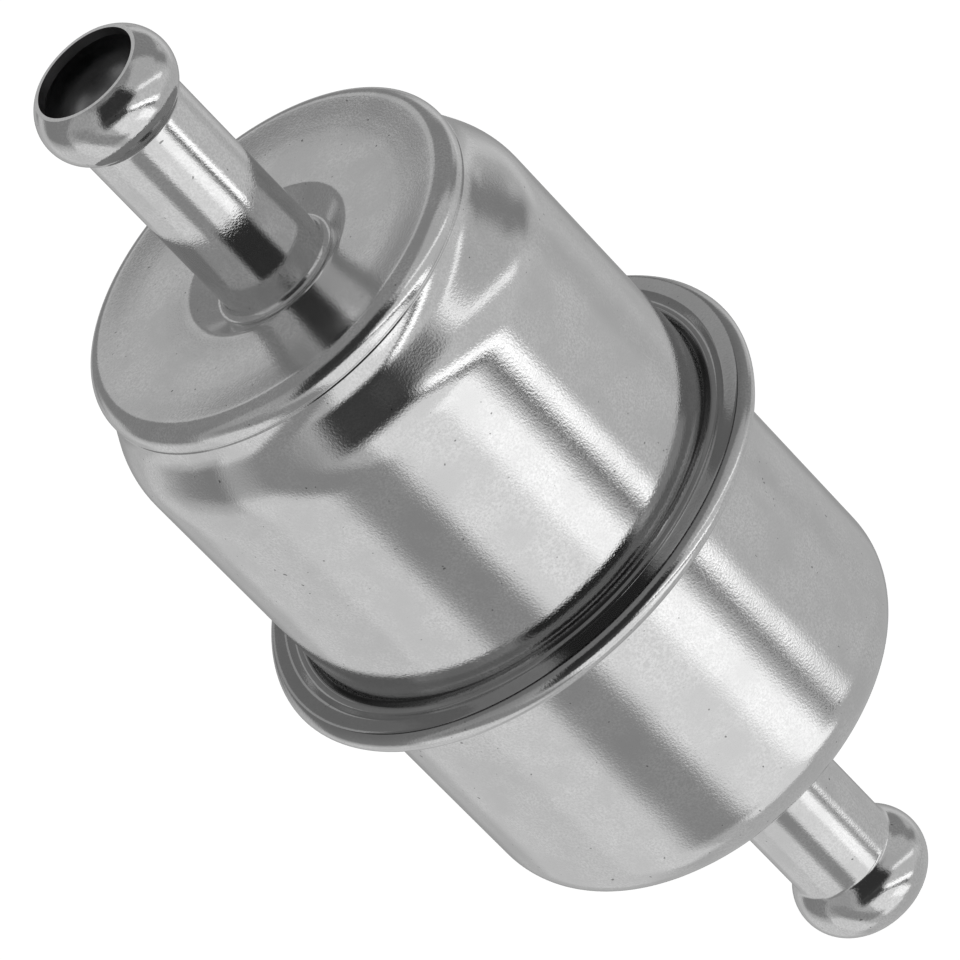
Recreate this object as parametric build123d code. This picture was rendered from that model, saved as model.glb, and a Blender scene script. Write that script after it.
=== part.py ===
"""In-line canister fuel filter with beaded hose tubes and a crimped centre seam.

Millimetres. +Z runs along the flow axis towards the inlet. Heights in this file are
measured from the middle plane of the seam; every piece is moved by CENTRE_SHIFT when it
is written, so that the finished part's origin is the middle of its overall length.
"""
import os
from math import atan2, cos, pi, radians, sin, sqrt, tan

from build123d import *

# ---- Hose tubes: 5/16 in tube, the same part at both ends ----
TUBE_R = 3.97
TUBE_WALL = 0.7
TUBE_LENGTH = 22.2
BEAD_ARC_R = 2.95
BEAD_ARC_CENTRE_R = 2.1
BEAD_ROOT_FILLET = 0.5
THROAT_FILLET = 0.45
MOUTH_R = 3.7
MOUTH_ABOVE_BEAD = 2.28
INLET_MOUTH_Z = 46.2
OUTLET_MOUTH_Z = -43.87

# ---- Drawn shells ----
SHEET = 0.6
CAN_R = 16.25
INLET_FACE_Z = 27.0
FACE_VALLEY_R = 9.5
FACE_VALLEY_Z = 26.88
FACE_BEND = 32.0
RIM_CORNER_Z = 27.42
RIM_BEND = 1.25
NECK_R = 14.6
NECK_FOOT_Z = 24.58
NECK_BEND = 3.5
SHOULDER_CORNER_Z = 21.04
SHOULDER_BEND = 6.35
OUTLET_FACE_Z = -23.7
OUTLET_CORNER_BEND = 4.2

# ---- Tube seats: a funnel pressed into each end face, its collar turned in along the tube ----
SEAT_R = 6.15
SEAT_DEPTH = 1.27
SEAT_BEND = 1.2
COLLAR_BEND = 0.8
COLLAR_END_DEPTH = 2.0
BRAZE_REACH = 0.79
BRAZE_FOOT = 0.25

# ---- Hemmed seam: outlet flange, sealing compound, inlet flange, folded lip ----
SEAL_FILM = 0.12
SEAM_R = 19.45
SEAM_HALF = (3 * SHEET + SEAL_FILM) / 2
HEM_BEND = SEAM_HALF - 0.05
LAYER_Z = SEAM_HALF - SHEET
OUTLET_ROOT_BEND = 0.8
INLET_ROOT_BEND = 0.62
INLET_FLANGE_R = 18.3
LIP_END_R = 16.64
LIP_EDGE_ROUND = 0.2
ROLLER_GROOVE_R = 17.25
ROLLER_GROOVE_DEPTH = 0.1
ROLLER_R = 0.9

# ---- Filter element ----
CAP_SHEET = 0.5
CAP_R = 13.6
CAP_RIM_HEIGHT = 3.5
CAP_BEND = 1.0
OPEN_CAP_Z = -21.2
OPEN_CAP_HOLE_R = 4.6
CLOSED_CAP_Z = 14.6
DIMPLE_HEIGHT = 1.0
DIMPLE_TOP_R = 6.2
DIMPLE_FOOT_R = 6.8
DIMPLE_BEND = 0.6
ADHESIVE_DEPTH = 1.25
ADHESIVE_R = CAP_R - CAP_SHEET - 0.05
CORE_R = 5.6
CORE_WALL = 0.4
CORE_HOLE_R = 1.0
CORE_HOLES_AROUND = 8
CORE_HOLE_ROWS = 8
PLEATS = 40
PLEAT_TIP_R = 12.8
PLEAT_ROOT_R = 6.35
PAPER = 0.35
CLIP_GAP_HALF = 0.55
CLIP_SHEET = 0.2
CLIP_DEPTH = 2.0
CLIP_TIP_GAP = 0.03
GASKET_BORE_R = 6.7
GASKET_R = 9.5

# ---- Element spring ----
WIRE_R = 0.5
SPRING_R = 7.6
SPRING_PITCH = 3.4
SPRING_TOP_Z = 26.33

CENTRE_SHIFT = -(INLET_MOUTH_Z + OUTLET_MOUTH_Z) / 2
TURN = 360


def spin(section):
    """Revolve a section, drawn with x as radius and y as height, about the flow axis."""
    return Rot(90, 0, 0) * revolve(section, Axis.Y, TURN)


def outline(corners, bends):
    """Closed section through the corners, each rounded to its own bend radius."""
    return make_face(FilletPolyline(*corners, radius=bends, close=True).edges())


def box_section(r_low, r_high, z_low, z_high):
    """Rectangular section between two radii and two heights."""
    corners = [(r_low, z_low), (r_high, z_low), (r_high, z_high), (r_low, z_high)]
    return make_face(Polyline(*corners, close=True).edges())


def washer(r_low, r_high, z_low, z_high):
    """Plain ring between two radii and two heights."""
    return spin(box_section(r_low, r_high, z_low, z_high))


def sheet_section(path, bends, sheet, end_rounds=(0.0, 0.0)):
    """Section of formed sheet. path is the outer face from end to end, bends its radii.

    The other face lies one sheet thickness to the right of the direction of travel.
    """
    directions = [(Vector(*b) - Vector(*a)).normalized() for a, b in zip(path, path[1:])]
    normals = [Vector(d.Y, -d.X) for d in directions]
    inner = [Vector(*path[0]) + normals[0] * sheet]
    inner_bends = []
    for corner, bend, n_in, n_out, along in zip(
        path[1:-1], bends, normals, normals[1:], directions
    ):
        mitre = (n_in + n_out) * (sheet / (1 + n_in.dot(n_out)))
        inner.append(Vector(*corner) + mitre)
        turns_right = along.dot(n_out) < 0
        inner_bends.append(bend - sheet if turns_right else bend + sheet)
    inner.append(Vector(*path[-1]) + normals[-1] * sheet)
    corners = [tuple(p) for p in path] + [(p.X, p.Y) for p in reversed(inner)]
    first, last = end_rounds
    radii = [first, *bends, last, last, *reversed(inner_bends), first]
    return outline(corners, radii)


def beaded_tube(mouth_z, side):
    """Hose tube with a hollow rolled bead. side is +1 for the inlet and -1 for the outlet."""
    bead_z = TUBE_LENGTH - MOUTH_ABOVE_BEAD
    bead = Pos(BEAD_ARC_CENTRE_R, bead_z) * Circle(BEAD_ARC_R)
    bead_hollow = Pos(BEAD_ARC_CENTRE_R, bead_z) * Circle(BEAD_ARC_R - TUBE_WALL)
    bore_r = TUBE_R - TUBE_WALL
    outside = box_section(0, TUBE_R, 0, bead_z) + bead
    hollow = box_section(-TUBE_R, bore_r, -1, bead_z) + bead_hollow
    hollow += box_section(-TUBE_R, MOUTH_R, bead_z, TUBE_LENGTH + 1)
    section = outside - hollow - box_section(0, SEAM_R, TUBE_LENGTH, TUBE_LENGTH + SEAM_R)
    section &= box_section(0, SEAM_R, 0, TUBE_LENGTH)

    def rise(arc_r, r):
        """Height of an arc about the bead's centre where it crosses radius r."""
        return sqrt(arc_r**2 - (r - BEAD_ARC_CENTRE_R) ** 2)

    root = Vector(TUBE_R, bead_z - rise(BEAD_ARC_R, TUBE_R))
    throat = Vector(bore_r, bead_z - rise(BEAD_ARC_R - TUBE_WALL, bore_r))
    for point, bend in ((root, BEAD_ROOT_FILLET), (throat, THROAT_FILLET)):
        section = fillet(section.vertices().sort_by_distance(point)[0], bend)
    tube = spin(section)
    if side < 0:
        tube = Rot(180, 0, 0) * tube
    return Pos(0, 0, mouth_z - side * TUBE_LENGTH) * tube


def tube_seat(face_z, side):
    """Corners and bends from the end of the collar out to the edge of the funnel."""
    return [
        ((TUBE_R, face_z - side * COLLAR_END_DEPTH), None),
        ((TUBE_R, face_z - side * SEAT_DEPTH), COLLAR_BEND),
        ((SEAT_R, face_z), SEAT_BEND),
    ]


def inlet_shell():
    """Upper drawn cup: tube seat, dished face, rounded rim, neck, shoulder, can, flange."""
    path_bends = tube_seat(INLET_FACE_Z, 1) + [
        ((FACE_VALLEY_R, FACE_VALLEY_Z), FACE_BEND),
        ((NECK_R, RIM_CORNER_Z), RIM_BEND),
        ((NECK_R, NECK_FOOT_Z), NECK_BEND),
        ((CAN_R, SHOULDER_CORNER_Z), SHOULDER_BEND),
        ((CAN_R, LAYER_Z), INLET_ROOT_BEND),
        ((INLET_FLANGE_R, LAYER_Z), None),
    ]
    path = [corner for corner, _ in path_bends]
    bends = [bend for _, bend in path_bends if bend is not None]
    return spin(sheet_section(path, bends, SHEET, (LIP_EDGE_ROUND, 0.0)))


def outlet_shell():
    """Lower drawn cup, whose flange is hemmed over the upper cup's flange."""
    path_bends = [
        ((LIP_END_R, SEAM_HALF), None),
        ((SEAM_R, SEAM_HALF), HEM_BEND),
        ((SEAM_R, -SEAM_HALF), HEM_BEND),
        ((CAN_R, -SEAM_HALF), OUTLET_ROOT_BEND),
        ((CAN_R, OUTLET_FACE_Z), OUTLET_CORNER_BEND),
    ]
    path_bends += reversed(tube_seat(OUTLET_FACE_Z, -1))
    path = [corner for corner, _ in path_bends]
    bends = [bend for _, bend in path_bends if bend is not None]
    section = sheet_section(path, bends, SHEET, (LIP_EDGE_ROUND, LIP_EDGE_ROUND))
    roller_z = SEAM_HALF - ROLLER_GROOVE_DEPTH + ROLLER_R
    section -= Pos(ROLLER_GROOVE_R, roller_z) * Circle(ROLLER_R)
    return spin(section)


def braze_ring(face_z, side):
    """Braze that fills the groove between a tube and its seat, with a hollow top."""
    slope = atan2(SEAT_DEPTH, SEAT_R - TUBE_R)
    half_turn = (pi / 2 - slope) / 2
    top_z = BRAZE_REACH - SEAT_DEPTH
    hollow_r = BRAZE_REACH * tan(half_turn)
    edge = (TUBE_R + BRAZE_REACH * cos(slope), BRAZE_REACH * sin(slope) - SEAT_DEPTH)
    foot_z = BRAZE_FOOT - SEAT_DEPTH - COLLAR_BEND * tan(half_turn)
    corners = [
        (TUBE_R, foot_z),
        (TUBE_R, top_z),
        (TUBE_R + hollow_r, top_z),
        edge,
        (TUBE_R + COLLAR_BEND, foot_z),
    ]
    seat = tube_seat(0, 1) + [((FACE_VALLEY_R, 0), None)]
    path = [corner for corner, _ in seat]
    section = make_face(Polyline(*corners, close=True).edges())
    section -= Pos(TUBE_R + hollow_r, top_z) * Circle(hollow_r)
    section -= sheet_section(path, [COLLAR_BEND, SEAT_BEND], SHEET)
    ring = spin(section)
    if side < 0:
        ring = Rot(180, 0, 0) * ring
    return Pos(0, 0, face_z) * ring


def end_cap(path, bends):
    """Shallow pressed cap of the filter element."""
    return spin(sheet_section(path, bends, CAP_SHEET))


def open_end_cap():
    """Cap at the outlet end, with the flow hole in its middle."""
    path = [
        (CAP_R, OPEN_CAP_Z + CAP_RIM_HEIGHT),
        (CAP_R, OPEN_CAP_Z),
        (OPEN_CAP_HOLE_R, OPEN_CAP_Z),
    ]
    return end_cap(path, [CAP_BEND])


def closed_end_cap():
    """Cap at the inlet end, with a raised dimple that centres the spring."""
    dimple_z = CLOSED_CAP_Z + DIMPLE_HEIGHT
    path = [
        (0, dimple_z),
        (DIMPLE_TOP_R, dimple_z),
        (DIMPLE_FOOT_R, CLOSED_CAP_Z),
        (CAP_R, CLOSED_CAP_Z),
        (CAP_R, CLOSED_CAP_Z - CAP_RIM_HEIGHT),
    ]
    return end_cap(path, [DIMPLE_BEND, DIMPLE_BEND, CAP_BEND])


def adhesive(cap_inside_z, side):
    """Ring of potting adhesive in a cap. side is the direction from the cap to the paper."""
    depth_z = cap_inside_z + side * ADHESIVE_DEPTH
    corners = [
        (CORE_R, cap_inside_z),
        (ADHESIVE_R, cap_inside_z),
        (ADHESIVE_R, depth_z),
        (CORE_R, depth_z),
    ]
    return spin(outline(corners, [0.0, CAP_BEND - CAP_SHEET, 0.0, 0.0]))


def centre_tube(z_low, z_high):
    """Perforated core that keeps the paper from collapsing inwards."""
    tube = washer(CORE_R - CORE_WALL, CORE_R, z_low, z_high)
    row_step = (z_high - z_low) / (CORE_HOLE_ROWS + 1)
    drills = []
    for row in range(CORE_HOLE_ROWS):
        z = z_low + (row + 1) * row_step
        stagger = (row % 2) * TURN / CORE_HOLES_AROUND / 2
        for hole in range(CORE_HOLES_AROUND // 2):
            angle = stagger + hole * TURN / CORE_HOLES_AROUND
            drills.append(Pos(0, 0, z) * Rot(0, 90, angle) * Cylinder(CORE_HOLE_R, 3 * CORE_R))
    return tube - drills


def pleated_paper(z_low, z_high):
    """Filter paper folded into radial pleats and closed into a ring."""
    half_pleat = TURN / PLEATS / 2
    folds = []
    for fold in range(2 * PLEATS):
        radius = PLEAT_TIP_R - PAPER / 2 if fold % 2 == 0 else PLEAT_ROOT_R + PAPER / 2
        angle = radians(fold * half_pleat)
        folds.append((radius * cos(angle), radius * sin(angle)))
    middle = make_face(Polyline(*folds, close=True).edges())
    section = offset(middle, PAPER / 2, kind=Kind.ARC) - offset(middle, -PAPER / 2, kind=Kind.ARC)
    return Pos(0, 0, z_low) * extrude(section, z_high - z_low)


def pleat_clip(z_low, z_high):
    """Channel strip that clamps the two end folds of the paper where the ring closes."""
    outer = CLIP_GAP_HALF + CLIP_SHEET
    web_r = PLEAT_TIP_R + CLIP_TIP_GAP
    channel = box_section(web_r - CLIP_DEPTH, web_r + CLIP_SHEET, -outer, outer)
    channel -= box_section(web_r - CLIP_DEPTH, web_r, -CLIP_GAP_HALF, CLIP_GAP_HALF)
    return Pos(0, 0, z_low) * extrude(channel, z_high - z_low)


def element_spring(z_low, z_high):
    """Compression spring with ground ends that holds the element on its seat."""
    height = z_high - z_low
    helix = Helix(SPRING_PITCH, height + WIRE_R, SPRING_R, center=(0, 0, -WIRE_R / 2))
    wire = sweep(Plane(helix @ 0, z_dir=helix % 0) * Circle(WIRE_R), path=helix, is_frenet=True)
    ground = Pos(0, 0, height / 2) * Box(4 * SPRING_R, 4 * SPRING_R, height)
    return Pos(0, 0, z_low) * (wire & ground)


def build():
    """All pieces by node name."""
    outlet_inside = OUTLET_FACE_Z + SHEET
    open_inside = OPEN_CAP_Z + CAP_SHEET
    closed_inside = CLOSED_CAP_Z - CAP_SHEET
    paper_low = open_inside + ADHESIVE_DEPTH
    paper_high = closed_inside - ADHESIVE_DEPTH
    seal_z = -LAYER_Z
    return {
        "inlet_shell": inlet_shell(),
        "outlet_shell": outlet_shell(),
        "inlet_tube": beaded_tube(INLET_MOUTH_Z, 1),
        "outlet_tube": beaded_tube(OUTLET_MOUTH_Z, -1),
        "inlet_braze_ring": braze_ring(INLET_FACE_Z, 1),
        "outlet_braze_ring": braze_ring(OUTLET_FACE_Z, -1),
        "seam_seal": washer(CAN_R + OUTLET_ROOT_BEND, INLET_FLANGE_R, seal_z, seal_z + SEAL_FILM),
        "closed_end_cap": closed_end_cap(),
        "open_end_cap": open_end_cap(),
        "closed_end_adhesive": adhesive(closed_inside, -1),
        "open_end_adhesive": adhesive(open_inside, 1),
        "centre_tube": centre_tube(open_inside, closed_inside),
        "pleated_paper": pleated_paper(paper_low, paper_high),
        "pleat_clip": pleat_clip(paper_low, paper_high),
        "outlet_gasket": washer(GASKET_BORE_R, GASKET_R, outlet_inside, OPEN_CAP_Z),
        "element_spring": element_spring(CLOSED_CAP_Z, SPRING_TOP_Z),
    }


os.makedirs("parts", exist_ok=True)
for node, piece in build().items():
    export_step(Pos(0, 0, CENTRE_SHIFT) * piece, f"parts/{node}.step")
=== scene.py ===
from math import acos, asin, atan2, ceil, cos, pi, radians, sin, sqrt, tan

import bmesh
import bpy
from mathutils import Matrix, Vector


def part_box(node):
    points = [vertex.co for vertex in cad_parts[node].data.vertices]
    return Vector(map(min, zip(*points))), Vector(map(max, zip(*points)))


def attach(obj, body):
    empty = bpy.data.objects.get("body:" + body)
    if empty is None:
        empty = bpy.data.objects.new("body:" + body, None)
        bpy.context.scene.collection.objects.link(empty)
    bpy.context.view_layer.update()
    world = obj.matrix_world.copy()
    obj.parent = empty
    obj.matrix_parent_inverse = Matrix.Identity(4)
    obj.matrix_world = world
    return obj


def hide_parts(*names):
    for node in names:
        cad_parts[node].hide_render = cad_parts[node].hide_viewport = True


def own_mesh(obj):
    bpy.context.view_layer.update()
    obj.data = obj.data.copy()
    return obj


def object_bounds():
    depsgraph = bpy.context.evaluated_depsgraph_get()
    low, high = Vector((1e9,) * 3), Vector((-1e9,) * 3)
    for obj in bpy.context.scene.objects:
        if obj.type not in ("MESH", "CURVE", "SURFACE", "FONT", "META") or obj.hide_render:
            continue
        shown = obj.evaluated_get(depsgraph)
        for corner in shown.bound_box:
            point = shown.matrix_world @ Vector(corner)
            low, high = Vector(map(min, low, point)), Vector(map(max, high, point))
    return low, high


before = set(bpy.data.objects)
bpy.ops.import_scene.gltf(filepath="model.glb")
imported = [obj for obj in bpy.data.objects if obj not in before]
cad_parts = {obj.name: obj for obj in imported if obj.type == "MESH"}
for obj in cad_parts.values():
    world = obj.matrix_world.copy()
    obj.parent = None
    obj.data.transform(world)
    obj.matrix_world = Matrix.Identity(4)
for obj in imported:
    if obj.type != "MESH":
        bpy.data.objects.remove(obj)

CAD_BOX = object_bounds()

MM = 0.001
FULL_TURN = 2 * pi

# ---- Places read from the frame ----
SEAM_HALF = 0.96 * MM
FLANGE_WIDTH = 2.05 * MM
SEAM_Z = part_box("outlet_shell")[1][2] - SEAM_HALF
FLOOR_Z = CAD_BOX[0][2]
INLET_MOUTH_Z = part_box("inlet_tube")[1][2]
OUTLET_MOUTH_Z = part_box("outlet_tube")[0][2]
OUTLET_FACE_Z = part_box("outlet_shell")[0][2]
INLET_FLANGE_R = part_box("inlet_shell")[1][0]
CAN_R = INLET_FLANGE_R - FLANGE_WIDTH
SEAM_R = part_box("outlet_shell")[1][0]
SPRING_LOW_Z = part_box("element_spring")[0][2]
SPRING_TOP_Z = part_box("element_spring")[1][2]

# ---- Hose tubes ----
TUBE_R = 3.97 * MM
TUBE_WALL = 0.7 * MM
TUBE_LENGTH = 22.2 * MM
BEAD_ARC_R = 2.95 * MM
BEAD_ARC_CENTRE_R = 2.1 * MM
BEAD_ROOT_BEND = 0.5 * MM
MOUTH_R = 3.7 * MM
MOUTH_ABOVE_BEAD = 2.28 * MM
THROAT_BEND = 0.45 * MM

# ---- Drawn shells, heights above the middle of the seam ----
SHEET = 0.6 * MM
FACE_Z = SEAM_Z + 27.0 * MM
FACE_VALLEY_R = 9.5 * MM
FACE_VALLEY_Z = SEAM_Z + 26.88 * MM
FACE_BEND = 32.0 * MM
RIM_CORNER_Z = SEAM_Z + 27.42 * MM
RIM_BEND = 1.25 * MM
NECK_R = 14.6 * MM
NECK_FOOT_Z = SEAM_Z + 24.58 * MM
NECK_BEND = 3.5 * MM
CREASE_Z = SEAM_Z + 25.58 * MM
CREASE_HALF = 0.13 * MM
CREASE_DEPTH = 0.09 * MM
SHOULDER_CORNER_Z = SEAM_Z + 21.04 * MM
SHOULDER_BEND = 6.35 * MM
OUTLET_CORNER_BEND = 4.2 * MM
SEAT_R = 6.15 * MM
SEAT_DEPTH = 1.27 * MM
SEAT_BEND = 1.2 * MM
COLLAR_BEND = 0.8 * MM
COLLAR_END_DEPTH = 2.0 * MM
BRAZE_REACH = 0.79 * MM

# ---- Hemmed seam ----
LAYER_Z = SEAM_HALF - SHEET
HEM_BEND = 0.91 * MM
OUTLET_ROOT_BEND = 0.8 * MM
INLET_ROOT_BEND = 0.62 * MM
LIP_END_R = 16.64 * MM
EDGE_ROUND = 0.2 * MM
LIP_END_DROP = 0.12 * MM
GROOVE_R = 17.2 * MM
GROOVE_DROP = 0.24 * MM
GROOVE_BEND = 0.35 * MM
RIDGE_R = 17.75 * MM
RIDGE_BEND = 0.5 * MM
CROWN_R = 18.75 * MM
CROWN_DROP = 0.11 * MM
CROWN_BEND = 0.8 * MM

# ---- Spring ----
SPRING_R = 7.6 * MM
SPRING_PITCH = 3.4 * MM
WIRE_R = 0.5 * MM
WIRE_SIDES = 16
WIRE_STATIONS = 48

# ---- Camera: long lens, looking down at the inlet end, turned on its own axis ----
CAMERA_ELEVATION = radians(33.3352)
CAMERA_ROLL = radians(44.1871)
CAMERA_DISTANCE = 557.6 * MM
CAMERA_RIGHT = -1.936 * MM
CAMERA_DOWN = -1.957 * MM
LENS_MM = 316.2
SENSOR_MM = 36.0
NEAREST_SEEN = 10 * MM


def make_camera():
    """Camera at the photograph's viewing angle, shifted a little from the middle of the seam."""
    forward = Vector((0, cos(CAMERA_ELEVATION), -sin(CAMERA_ELEVATION)))
    level_right = Vector((1, 0, 0))
    level_down = forward.cross(level_right)
    right = cos(CAMERA_ROLL) * level_right + sin(CAMERA_ROLL) * level_down
    down = cos(CAMERA_ROLL) * level_down - sin(CAMERA_ROLL) * level_right
    place = Vector((0, 0, SEAM_Z)) - forward * CAMERA_DISTANCE + right * CAMERA_RIGHT + down * CAMERA_DOWN
    data = bpy.data.cameras.new("camera")
    data.lens = LENS_MM
    data.sensor_width = SENSOR_MM
    data.clip_start = NEAREST_SEEN
    camera = bpy.data.objects.new("camera", data)
    turn = Matrix((right, -down, -forward)).transposed().to_4x4()
    camera.matrix_world = Matrix.Translation(place) @ turn
    bpy.context.collection.objects.link(camera)
    bpy.context.scene.camera = camera


make_camera()


# ---- Node helpers ----
class Nodes:
    """Small builder for shader node trees."""

    def __init__(self, tree):
        self.tree = tree

    def add(self, kind, **settings):
        node = self.tree.nodes.new(kind)
        for name, value in settings.items():
            setattr(node, name, value)
        return node

    def feed(self, socket, value):
        if isinstance(value, bpy.types.NodeSocket):
            self.tree.links.new(value, socket)
        else:
            socket.default_value = value

    def math(self, operation, *values):
        node = self.add("ShaderNodeMath", operation=operation)
        for socket, value in zip(node.inputs, values):
            self.feed(socket, value)
        return node.outputs[0]

    def ramp(self, value, low, high, out_low, out_high):
        """Smooth step from out_low to out_high while the value goes from low to high."""
        node = self.add("ShaderNodeMapRange", interpolation_type="SMOOTHSTEP")
        for name, item in (("Value", value), ("From Min", low), ("From Max", high),
                           ("To Min", out_low), ("To Max", out_high)):
            self.feed(node.inputs[name], item)
        return node.outputs["Result"]

    def split(self, vector):
        node = self.add("ShaderNodeSeparateXYZ")
        self.feed(node.inputs[0], vector)
        return node.outputs[0], node.outputs[1], node.outputs[2]

    def join(self, x, y, z):
        node = self.add("ShaderNodeCombineXYZ")
        for socket, value in zip(node.inputs, (x, y, z)):
            self.feed(socket, value)
        return node.outputs[0]

    def noise(self, vector, scale, detail=2.0, roughness=0.5):
        node = self.add("ShaderNodeTexNoise")
        self.feed(node.inputs["Vector"], vector)
        self.feed(node.inputs["Scale"], scale)
        self.feed(node.inputs["Detail"], detail)
        self.feed(node.inputs["Roughness"], roughness)
        return node.outputs["Fac"]

    def bump(self, height, distance, normal=None):
        node = self.add("ShaderNodeBump")
        self.feed(node.inputs["Height"], height)
        self.feed(node.inputs["Distance"], distance)
        self.feed(node.inputs["Strength"], 1.0)
        if normal is not None:
            self.feed(node.inputs["Normal"], normal)
        return node.outputs["Normal"]

    def blend(self, share, first, second):
        node = self.add("ShaderNodeMix", data_type="RGBA")
        self.feed(node.inputs["Factor"], share)
        for name, value in (("A", first), ("B", second)):
            self.feed([s for s in node.inputs if s.name == name and s.type == "RGBA"][0], value)
        return [s for s in node.outputs if s.type == "RGBA"][0]

    def length(self, x, y):
        """Square root of the sum of the squares."""
        return self.math("SQRT", self.math("ADD", self.math("MULTIPLY", x, x), self.math("MULTIPLY", y, y)))

    def around(self, radius):
        """Object coordinates unrolled about the flow axis: arc length, height, distance from the axis."""
        x, y, z = self.split(self.add("ShaderNodeTexCoord").outputs["Object"])
        arc = self.math("MULTIPLY", self.math("ARCTAN2", y, x), radius)
        return arc, z, self.length(x, y)


# ---- Studio: pale surround with lit windows and dark flags, placed by direction ----
METAL_GREY = 0.80
SURROUND = 0.38
SURROUND_FLOOR = 0.02
# name: (azimuth, elevation, half width, half height, lean, edge, brightness), painted in this order.
# Angles in degrees; lean is the azimuth gained per degree of elevation.
PATCHES = {
    "ceiling": (0, 72, 200, 25, 0, 6, 0.21),
    "back_wall": (92, 22, 86, 28, 0, 5, 0.20),
    "over_face": (84, 31.5, 11, 8.5, 0, 2.5, 0.40),
    "back_window": (132, -10, 9, 22, -0.5, 5, 0.45),
    "side_window": (52, -12, 8, 20, 0.5, 5, 0.48),
    "left_upper": (-163, 30, 30, 26, 0, 6, 0.30),
    "left_wall": (-165, -34, 22, 30, 0, 5, 0.56),
    "left_back": (160, -38, 30, 22, 0, 6, 0.50),
    "backdrop": (88, -31, 22, 15, 0, 8, 0.27),
    "wall": (-90, -28, 24, 32, 0, 3, 0.66),
    "wall_glow": (-64, -38, 11, 15, -0.7, 4, 0.92),
    "between_windows": (-45, -4, 30, 30, -1.1, 6, 0.46),
    "near_window": (-73, 0, 5, 36, -1.08, 3, 1.10),
    "far_window": (-30, 1, 4, 19, -1.1, 3, 0.85),
    "window_bar": (-82, 0, 2.0, 36, -1.05, 1.2, 0.08),
    "right_flag": (15, -10, 9, 12, -0.5, 5, 0.20),
    "left_flag": (-142, -10, 14, 34, -0.65, 6, 0.23),
    "camera_gap": (-92, 38, 35, 23, 0, 7, 0.03),
    "camera_stand": (-103, 12, 23, 10, 0, 7, 0.04),
}


def patch_cover(nodes, azimuth, elevation, patch):
    """1 inside a patch and 0 outside it, with soft edges."""
    centre_azimuth, centre_elevation, half_width, half_height, lean, edge, _ = patch
    rise = nodes.math("SUBTRACT", elevation, centre_elevation)
    across = nodes.math("SUBTRACT", nodes.math("SUBTRACT", azimuth, centre_azimuth),
                        nodes.math("MULTIPLY", rise, lean))
    cover = None
    for distance, half in ((across, half_width), (rise, half_height)):
        side = nodes.ramp(nodes.math("ABSOLUTE", distance), half - edge, half + edge, 1.0, 0.0)
        cover = side if cover is None else nodes.math("MULTIPLY", cover, side)
    return cover


def make_surround():
    """World that shows the patches to the metal and plain white to the camera."""
    world = bpy.data.worlds.new("studio")
    world.use_nodes = True
    bpy.context.scene.world = world
    tree = world.node_tree
    tree.nodes.clear()
    nodes = Nodes(tree)
    x, y, z = nodes.split(nodes.add("ShaderNodeTexCoord").outputs["Generated"])
    azimuth = nodes.math("DEGREES", nodes.math("ARCTAN2", y, x))
    elevation = nodes.math("DEGREES", nodes.math("ARCSINE", z))
    total = SURROUND
    for patch in PATCHES.values():
        brightness = patch[-1]
        change = nodes.math("MULTIPLY", patch_cover(nodes, azimuth, elevation, patch),
                            nodes.math("SUBTRACT", brightness, total))
        total = nodes.math("ADD", total, change)
    total = nodes.math("DIVIDE", nodes.math("MAXIMUM", total, SURROUND_FLOOR), METAL_GREY)
    seen = nodes.add("ShaderNodeLightPath").outputs["Is Camera Ray"]
    total = nodes.math("MAXIMUM", total, seen)
    background = nodes.add("ShaderNodeBackground")
    nodes.feed(background.inputs["Strength"], total)
    background.inputs["Color"].default_value = (1, 1, 1, 1)
    out = nodes.add("ShaderNodeOutputWorld")
    tree.links.new(background.outputs[0], out.inputs[0])


make_surround()


def grey_shade(grey):
    return (grey, grey, grey, 1)


def new_material(name):
    material = bpy.data.materials.new(name)
    material.use_nodes = True
    tree = material.node_tree
    shader = tree.nodes["Principled BSDF"]
    return material, Nodes(tree), shader


FLOOR_HALF = 20.0
FLOOR_GREY = 0.9
FLOOR_ROUGHNESS = 0.9
FLOOR_GLOW = 0.8


def make_floor():
    """Plain pale floor under the part, lit to white and left out of reflections."""
    mesh = bpy.data.meshes.new("floor")
    signs = [(-1, -1), (1, -1), (1, 1), (-1, 1)]
    corners = [(x * FLOOR_HALF, y * FLOOR_HALF, FLOOR_Z) for x, y in signs]
    mesh.from_pydata(corners, [], [(0, 1, 2, 3)])
    floor = bpy.data.objects.new("floor", mesh)
    bpy.context.collection.objects.link(floor)
    material, _, shader = new_material("floor_paper")
    shader.inputs["Base Color"].default_value = grey_shade(FLOOR_GREY)
    shader.inputs["Roughness"].default_value = FLOOR_ROUGHNESS
    shader.inputs["Emission Color"].default_value = grey_shade(1)
    shader.inputs["Emission Strength"].default_value = FLOOR_GLOW
    mesh.materials.append(material)
    floor.visible_glossy = False


make_floor()


# ---- Materials ----
# Painted shade in the crevice beside the hem's lip, and how much darker the lip's top is painted.
CREVICE_R = 16.5 * MM
CREVICE_DEPTH = 0.35 * MM
CREVICE_REACH = 0.55 * MM
LIP_SHADE_AMOUNT = 0.7
# Noise scales, per metre.
PEEL_SCALE = 6500.0
DRAW_ACROSS = 9000.0
DRAW_ALONG = 4500.0
WAVE_SCALE = 220.0
TARNISH_SCALE = 260.0
SPECK_SCALE = 2600.0
MOTTLE_SCALE = 900.0
ROLL_MARK_SCALE = 5000.0
# Stretch of noise values over which each effect sets in.
FLECK_RANGE = (0.3, 0.7)
TARNISH_RANGE = (0.35, 0.7)
SPECK_RANGE = (0.76, 0.80)
BROAD_RANGE = (0.2, 0.8)
# Greys, as shares of the clean metal's.
FLECK_DARK = 0.88
FLECK_LIGHT = 1.1
TARNISH_SHARE = 0.9
SPECK_SHARE = 0.35
# The next two are painted shade: the hem lip's top and the crevice beside it are darkened to these shares.
LIP_SHADE_SHARE = 0.4
CREVICE_SHADE_SHARE = 0.3
MOTTLE_SHARES = (0.8, 0.8, 0.82)
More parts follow.
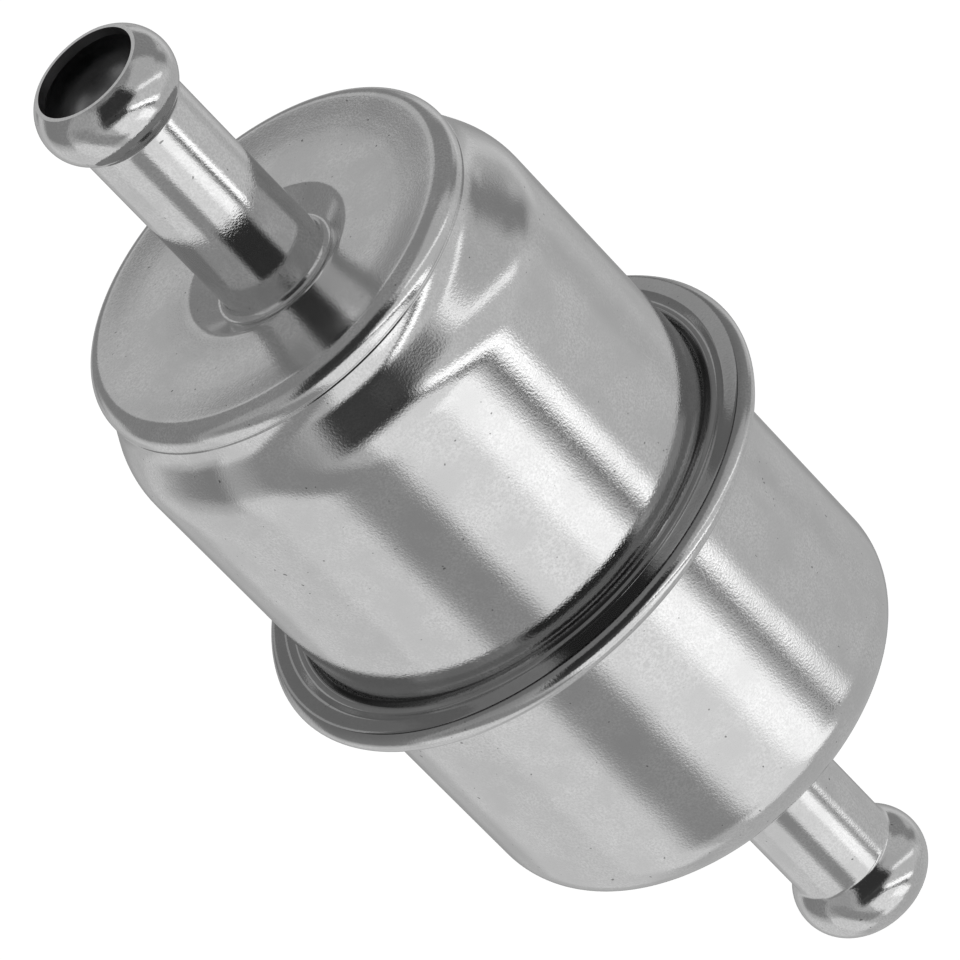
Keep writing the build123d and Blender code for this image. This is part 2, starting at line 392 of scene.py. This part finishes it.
# Roughness: two factors, then two amounts that are added.
TARNISH_ROUGHENING = 1.25
MOTTLE_ROUGHENING = 1.5
GRAIN_HAZE = 0.1
FACE_HAZE = 0.07
ROLL_MARK_HEIGHT = 0.004 * MM


def lip_painted_shade(nodes, height, out):
    """Share of the darker grey painted as shade over the top of the hem's lip."""
    past_edge = nodes.ramp(out, LIP_END_R, LIP_END_R + EDGE_ROUND, 0.0, LIP_SHADE_AMOUNT)
    return nodes.math("MULTIPLY", past_edge, nodes.ramp(height, SEAM_Z, SEAM_Z + SEAM_HALF, 0.0, 1.0))


def crevice_painted_shade(nodes, height, out):
    """Share of the painted shade's grey: a ring about the crevice between the can wall and the lip."""
    aside = nodes.math("SUBTRACT", out, CREVICE_R)
    above = nodes.math("SUBTRACT", height, SEAM_Z + SEAM_HALF - CREVICE_DEPTH)
    return nodes.ramp(nodes.length(aside, above), CREVICE_REACH, 0.0, 0.0, 1.0)


def plated_steel(name, grey, roughness, grain_height, draw_height, wander, hazed_and_shaded=False):
    """Bright plated steel: a mirror with orange peel, drawing lines, slow waves, tarnish and specks.

    The flag adds the shells' hazed end face, and painted shade over the hem's lip and in the crevice beside
    it.
    """
    material, nodes, shader = new_material(name)
    place = nodes.add("ShaderNodeTexCoord").outputs["Object"]
    girth, height, out = nodes.around(CAN_R)
    peel = nodes.noise(place, PEEL_SCALE, roughness=0.6)
    stretched = ((girth, DRAW_ACROSS), (out, DRAW_ALONG), (height, DRAW_ALONG))
    lines = nodes.join(*(nodes.math("MULTIPLY", value, scale) for value, scale in stretched))
    normal = nodes.bump(nodes.noise(place, WAVE_SCALE, detail=1.0), wander)
    normal = nodes.bump(nodes.noise(lines, 1.0), draw_height, normal)
    normal = nodes.bump(peel, grain_height, normal)
    nodes.feed(shader.inputs["Normal"], normal)
    stain = nodes.noise(place, TARNISH_SCALE, detail=5.0, roughness=0.6)
    tarnish = nodes.ramp(stain, *TARNISH_RANGE, 0.0, 1.0)
    speck = nodes.ramp(nodes.noise(place, SPECK_SCALE, detail=1.0), *SPECK_RANGE, 0.0, 1.0)
    fleck = nodes.ramp(peel, *FLECK_RANGE, 0.0, 1.0)
    clean = nodes.blend(fleck, grey_shade(grey * FLECK_DARK), grey_shade(grey * FLECK_LIGHT))
    clean = nodes.blend(tarnish, clean, grey_shade(grey * TARNISH_SHARE))
    colour = nodes.blend(speck, clean, grey_shade(grey * SPECK_SHARE))
    if hazed_and_shaded:
        # Painted shade: the top of the hem's lip is darkened.
        colour = nodes.blend(lip_painted_shade(nodes, height, out), colour, grey_shade(grey * LIP_SHADE_SHARE))
        # Painted shade: the crevice between the can wall and the hem's lip is darkened.
        colour = nodes.blend(crevice_painted_shade(nodes, height, out), colour, grey_shade(grey * CREVICE_SHADE_SHARE))
    nodes.feed(shader.inputs["Base Color"], colour)
    rough = nodes.ramp(tarnish, 0.0, 1.0, roughness, roughness * TARNISH_ROUGHENING)
    if hazed_and_shaded:
        rim_z = RIM_CORNER_Z - RIM_BEND
        haze = nodes.ramp(height, rim_z, rim_z + RIM_BEND / 2, 0.0, FACE_HAZE)
        rough = nodes.math("ADD", rough, haze)
    nodes.feed(shader.inputs["Roughness"], rough)
    shader.inputs["Metallic"].default_value = 1.0
    return material


def plain_steel(name, grey, roughness):
    """Plain steel sheet or wire, slightly mottled: the pieces inside the can and the tubes' bores."""
    material, nodes, shader = new_material(name)
    place = nodes.add("ShaderNodeTexCoord").outputs["Object"]
    mottle = nodes.noise(place, MOTTLE_SCALE, detail=4.0)
    dull = (*(grey * share for share in MOTTLE_SHARES), 1)
    nodes.feed(shader.inputs["Base Color"], nodes.blend(mottle, grey_shade(grey), dull))
    rough = nodes.ramp(mottle, *BROAD_RANGE, roughness, roughness * MOTTLE_ROUGHENING)
    nodes.feed(shader.inputs["Roughness"], rough)
    nodes.feed(shader.inputs["Normal"], nodes.bump(nodes.noise(place, ROLL_MARK_SCALE), ROLL_MARK_HEIGHT))
    shader.inputs["Metallic"].default_value = 1.0
    return material


def matt(name, light, dark, grain_scale, grain_height, roughness):
    """Non-metal with its own grain: paper fibre, cured resin, moulded rubber."""
    material, nodes, shader = new_material(name)
    place = nodes.add("ShaderNodeTexCoord").outputs["Object"]
    grain = nodes.noise(place, grain_scale, detail=5.0, roughness=0.65)
    nodes.feed(shader.inputs["Base Color"], nodes.blend(grain, (*dark, 1), (*light, 1)))
    rough = nodes.ramp(grain, *BROAD_RANGE, roughness, roughness + GRAIN_HAZE)
    nodes.feed(shader.inputs["Roughness"], rough)
    nodes.feed(shader.inputs["Normal"], nodes.bump(grain, grain_height))
    return material


# plated_steel takes grey, roughness and the heights of the peel, the drawing lines and the slow waves;
# plain_steel takes grey and roughness; matt takes lighter and darker colour, grain and roughness.
MATERIALS = {
    "shell_steel": plated_steel("shell_steel", METAL_GREY, 0.06, 0.007 * MM, 0.0012 * MM, 0.006 * MM, True),
    "tube_steel": plated_steel("tube_steel", METAL_GREY, 0.06, 0.006 * MM, 0.0008 * MM, 0.005 * MM),
    "braze": plated_steel("braze", METAL_GREY, 0.12, 0.008 * MM, 0.001 * MM, 0.01 * MM),
    "bore": plain_steel("bore", 0.42, 0.3),
    "cap_steel": plain_steel("cap_steel", 0.62, 0.28),
    "core_steel": plain_steel("core_steel", 0.6, 0.3),
    "spring_wire": plain_steel("spring_wire", 0.55, 0.22),
    "filter_paper": matt("filter_paper", (0.78, 0.66, 0.42), (0.62, 0.5, 0.28), 2200.0, 0.03 * MM, 0.85),
    "potting": matt("potting", (0.55, 0.42, 0.2), (0.45, 0.32, 0.13), 700.0, 0.02 * MM, 0.45),
    "seam_compound": matt("seam_compound", (0.25, 0.25, 0.24), (0.15, 0.15, 0.15), 1500.0, 0.01 * MM, 0.6),
    "gasket_rubber": matt("gasket_rubber", (0.035, 0.035, 0.035), (0.02, 0.02, 0.02),
                          3000.0, 0.01 * MM, 0.55),
}


# ---- Profiles: (radius, height, bend) corners rounded into smooth lines ----
ARC_STEP = radians(4)
LONGEST = 0.45 * MM
SAME_PLACE = 0.000001 * MM
SECTORS = 192
SHARP = radians(38)
FEWEST_STEPS = 4
STRAIGHT = 0.000001


def arc_points(before, corner, after, bend):
    """Points of the round that replaces a corner."""
    to_before = (before - corner).normalized()
    to_after = (after - corner).normalized()
    turn = pi - to_before.angle(to_after)
    if bend <= 0 or turn < STRAIGHT:
        return [corner]
    reach = bend * tan(turn / 2)
    start = corner + to_before * reach
    end = corner + to_after * reach
    centre = corner + (to_before + to_after).normalized() * (bend / cos(turn / 2))
    steps = max(FEWEST_STEPS, ceil(turn / ARC_STEP))
    first, last = start - centre, end - centre
    points = []
    for step in range(steps + 1):
        share = step / steps
        weight_a = sin((1 - share) * turn) / sin(turn)
        weight_b = sin(share * turn) / sin(turn)
        points.append(centre + first * weight_a + last * weight_b)
    return points


def divided(rough):
    """Closed line with its long runs divided."""
    loop = []
    for a, b in zip(rough, rough[1:] + rough[:1]):
        length = (b - a).length
        if length < SAME_PLACE:
            continue
        pieces = max(1, ceil(length / LONGEST))
        loop += [a.lerp(b, piece / pieces) for piece in range(pieces)]
    return loop


def rounded_loop(corners):
    """Closed line through (radius, height, bend) corners."""
    places = [Vector((r, z)) for r, z, _ in corners]
    rough = []
    for i, (_, _, bend) in enumerate(corners):
        rough += arc_points(places[i - 1], places[i], places[(i + 1) % len(places)], bend)
    return divided(rough)


def offset_path(path, sheet):
    """Other face of formed sheet, to the right of the direction of travel, as corners in reverse."""
    places = [Vector((r, z)) for r, z, _ in path]
    along = [(b - a).normalized() for a, b in zip(places, places[1:])]
    normals = [Vector((d.y, -d.x)) for d in along]
    inner = [(*(places[0] + normals[0] * sheet), 0.0)]
    for i in range(1, len(places) - 1):
        n_in, n_out = normals[i - 1], normals[i]
        mitre = (n_in + n_out) * (sheet / (1 + n_in.dot(n_out)))
        bend = path[i][2] - sheet if along[i - 1].dot(n_out) < 0 else path[i][2] + sheet
        inner.append((*(places[i] + mitre), max(bend, 0.0)))
    inner.append((*(places[-1] + normals[-1] * sheet), 0.0))
    return inner[::-1]


def spin_piece(name, loop, second_from=None):
    """Turn a closed loop about the flow axis.

    Faces from the loop's point second_from on take the second material.
    """
    rings = len(loop)
    verts = []
    for sector in range(SECTORS):
        a = FULL_TURN * sector / SECTORS
        verts += [(p.x * cos(a), p.x * sin(a), p.y) for p in loop]
    faces = []
    for sector in range(SECTORS):
        here = sector * rings
        beyond = (sector + 1) % SECTORS * rings
        for i in range(rings):
            j = (i + 1) % rings
            faces.append((here + i, beyond + i, beyond + j, here + j))
    mesh = bpy.data.meshes.new(name)
    mesh.from_pydata(verts, [], faces)
    if second_from is not None:
        for polygon in mesh.polygons:
            if polygon.index % rings >= second_from:
                polygon.material_index = 1
    return finish_mesh(name, mesh)


def finish_mesh(name, mesh):
    """Face the mesh outwards, shade it smooth but for its sharp edges and put it in the scene."""
    work = bmesh.new()
    work.from_mesh(mesh)
    bmesh.ops.recalc_face_normals(work, faces=work.faces)
    work.to_mesh(mesh)
    work.free()
    for polygon in mesh.polygons:
        polygon.use_smooth = True
    mesh.set_sharp_from_angle(angle=SHARP)
    piece = bpy.data.objects.new(name, mesh)
    bpy.context.collection.objects.link(piece)
    return piece


def place_piece(piece, body, node, slot, *materials):
    """Paint a piece, let it ride on its body and let it stand for its CAD node."""
    for material in materials:
        piece.data.materials.append(MATERIALS[material])
    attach(piece, body)
    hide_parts(node)


def tube_seat(face_z, side):
    """Corners from the end of the collar out to the edge of the funnel."""
    return [
        (TUBE_R, face_z - side * COLLAR_END_DEPTH, 0.0),
        (TUBE_R, face_z - side * SEAT_DEPTH, COLLAR_BEND),
        (SEAT_R, face_z, SEAT_BEND),
    ]


def inlet_cup():
    """Cup with a seat, a dished face, a rounded rim, a creased neck, a shoulder and a flange."""
    above = tube_seat(FACE_Z, 1) + [
        (FACE_VALLEY_R, FACE_VALLEY_Z, FACE_BEND),
        (NECK_R, RIM_CORNER_Z, RIM_BEND),
    ]
    crease = [
        (NECK_R, CREASE_Z + CREASE_HALF, CREASE_DEPTH),
        (NECK_R - CREASE_DEPTH, CREASE_Z, CREASE_DEPTH),
        (NECK_R, CREASE_Z - CREASE_HALF, CREASE_DEPTH),
    ]
    below = [
        (NECK_R, NECK_FOOT_Z, NECK_BEND),
        (CAN_R, SHOULDER_CORNER_Z, SHOULDER_BEND),
        (CAN_R, SEAM_Z + LAYER_Z, INLET_ROOT_BEND),
        (INLET_FLANGE_R, SEAM_Z + LAYER_Z, 0.0),
    ]
    loop = rounded_loop(above + crease + below + offset_path(above + below, SHEET))
    place_piece(spin_piece("inlet_cup", loop), "canister", "inlet_shell", "shell_steel", "shell_steel")


def outlet_cup():
    """Cup whose flange folds over the inlet cup's in a hem, with a crowned and grooved lip."""
    tail = [
        (SEAM_R, SEAM_Z + SEAM_HALF, HEM_BEND),
        (SEAM_R, SEAM_Z - SEAM_HALF, HEM_BEND),
        (CAN_R, SEAM_Z - SEAM_HALF, OUTLET_ROOT_BEND),
        (CAN_R, OUTLET_FACE_Z, OUTLET_CORNER_BEND),
    ] + tube_seat(OUTLET_FACE_Z, -1)[::-1]
    top = SEAM_Z + SEAM_HALF
    plain = [(LIP_END_R, top, 0.0)] + tail
    crown = [
        (LIP_END_R, top - LIP_END_DROP, EDGE_ROUND),
        (LIP_END_R + EDGE_ROUND, top - LIP_END_DROP, EDGE_ROUND),
        (GROOVE_R, top - GROOVE_DROP, GROOVE_BEND),
        (RIDGE_R, top, RIDGE_BEND),
        (CROWN_R, top - CROWN_DROP, CROWN_BEND),
    ]
    loop = rounded_loop(crown + tail + offset_path(plain, SHEET))
    place_piece(spin_piece("outlet_cup", loop), "canister", "outlet_shell", "shell_steel", "shell_steel")


def arc(centre, radius, start, end):
    """Points along an arc, from one angle to another."""
    steps = max(FEWEST_STEPS, ceil(abs(end - start) / ARC_STEP))
    angles = [start + (end - start) * step / steps for step in range(steps + 1)]
    return [Vector((centre[0] + radius * cos(a), centre[1] + radius * sin(a))) for a in angles]


def bead_line(line_r, arc_r, bend, top_angle):
    """Line that rounds out of the tube wall into the bead and follows it up to an angle."""
    bead_z = TUBE_LENGTH - MOUTH_ABOVE_BEAD
    bend_r = line_r + bend
    drop = sqrt((arc_r + bend) ** 2 - (bend_r - BEAD_ARC_CENTRE_R) ** 2)
    lean = atan2(drop, BEAD_ARC_CENTRE_R - bend_r)
    points = arc((bend_r, bead_z - drop), bend, pi, lean)
    return points + arc((BEAD_ARC_CENTRE_R, bead_z), arc_r, lean - pi, top_angle)


def hose_tube(name, node, mouth_z, side):
    """Beaded tube, its bore in the duller second material."""
    bore_r = TUBE_R - TUBE_WALL
    hollow_r = BEAD_ARC_R - TUBE_WALL
    outside = bead_line(TUBE_R, BEAD_ARC_R, BEAD_ROOT_BEND, asin(MOUTH_ABOVE_BEAD / BEAD_ARC_R))
    inside = bead_line(bore_r, hollow_r, THROAT_BEND, acos((MOUTH_R - BEAD_ARC_CENTRE_R) / hollow_r))
    line = [Vector((TUBE_R, 0.0))] + outside + [Vector((MOUTH_R, TUBE_LENGTH))]
    line += inside[::-1] + [Vector((bore_r, 0.0))]
    far_z = mouth_z - side * TUBE_LENGTH
    loop = [Vector((p.x, far_z + side * p.y)) for p in divided(line)]
    at_mouth = [abs(p.y - mouth_z) < SAME_PLACE and p.x < MOUTH_R + SAME_PLACE for p in loop]
    mouth_edge = at_mouth.index(True)
    piece = spin_piece(name, loop, mouth_edge)
    place_piece(piece, "canister", node, "tube_steel", "tube_steel", "bore")


def braze_fillet(name, node, face_z, side):
    """Braze in the groove between tube and seat, its top hollowed."""
    slope = atan2(SEAT_DEPTH, SEAT_R - TUBE_R)
    top_z = BRAZE_REACH - SEAT_DEPTH
    hollow = BRAZE_REACH * tan((pi / 2 - slope) / 2)
    meniscus = arc((TUBE_R + hollow, top_z), hollow, pi, 1.5 * pi + slope)
    line = meniscus + [Vector((TUBE_R + COLLAR_BEND, -SEAT_DEPTH)), Vector((TUBE_R, -SEAT_DEPTH))]
    loop = [Vector((p.x, face_z + side * p.y)) for p in divided(line)]
    place_piece(spin_piece(name, loop), "canister", node, "braze", "braze")


def coil_spring():
    """Round wire wound on the flow axis, both ends ground flat."""
    height = SPRING_TOP_Z - SPRING_LOW_Z
    turns = (height + WIRE_R) / SPRING_PITCH
    count = ceil(turns * WIRE_STATIONS)
    verts = []
    for i in range(count + 1):
        angle = FULL_TURN * turns * i / count
        middle_z = (height + WIRE_R) * i / count - WIRE_R / 2
        for side in range(WIRE_SIDES):
            a = FULL_TURN * side / WIRE_SIDES
            r = SPRING_R + WIRE_R * cos(a)
            z = min(max(middle_z + WIRE_R * sin(a), 0.0), height)
            verts.append((r * cos(angle), r * sin(angle), SPRING_LOW_Z + z))
    faces = []
    for i in range(count):
        for side in range(WIRE_SIDES):
            here, beyond = i * WIRE_SIDES, (i + 1) * WIRE_SIDES
            after = (side + 1) % WIRE_SIDES
            faces.append((here + side, beyond + side, beyond + after, here + after))
    faces.append(tuple(range(WIRE_SIDES)))
    faces.append(tuple(range(count * WIRE_SIDES, (count + 1) * WIRE_SIDES)))
    mesh = bpy.data.meshes.new("coil_spring")
    mesh.from_pydata(verts, [], faces)
    piece = finish_mesh("coil_spring", mesh)
    place_piece(piece, "canister", "element_spring", "spring_wire", "spring_wire")
    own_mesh(piece)


inlet_cup()
outlet_cup()
hose_tube("inlet_hose_tube", "inlet_tube", INLET_MOUTH_Z, 1)
hose_tube("outlet_hose_tube", "outlet_tube", OUTLET_MOUTH_Z, -1)
braze_fillet("inlet_braze_fillet", "inlet_braze_ring", FACE_Z, 1)
braze_fillet("outlet_braze_fillet", "outlet_braze_ring", OUTLET_FACE_Z, -1)
coil_spring()

# ---- Every CAD node takes its material; those that a piece above replaces are not shown ----
NODE_MATERIALS = {
    "closed_end_cap": "cap_steel",
    "open_end_cap": "cap_steel",
    "closed_end_adhesive": "potting",
    "open_end_adhesive": "potting",
    "centre_tube": "core_steel",
    "pleated_paper": "filter_paper",
    "pleat_clip": "core_steel",
    "outlet_gasket": "gasket_rubber",
    "seam_seal": "seam_compound",
    "inlet_shell": "shell_steel",
    "outlet_shell": "shell_steel",
    "inlet_tube": "tube_steel",
    "outlet_tube": "tube_steel",
    "inlet_braze_ring": "braze",
    "outlet_braze_ring": "braze",
    "element_spring": "spring_wire",
}
for name, material in NODE_MATERIALS.items():
    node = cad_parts[name]
    node.data.materials.clear()
    node.data.materials.append(MATERIALS[material])

bpy.context.scene.view_settings.view_transform = "Standard"
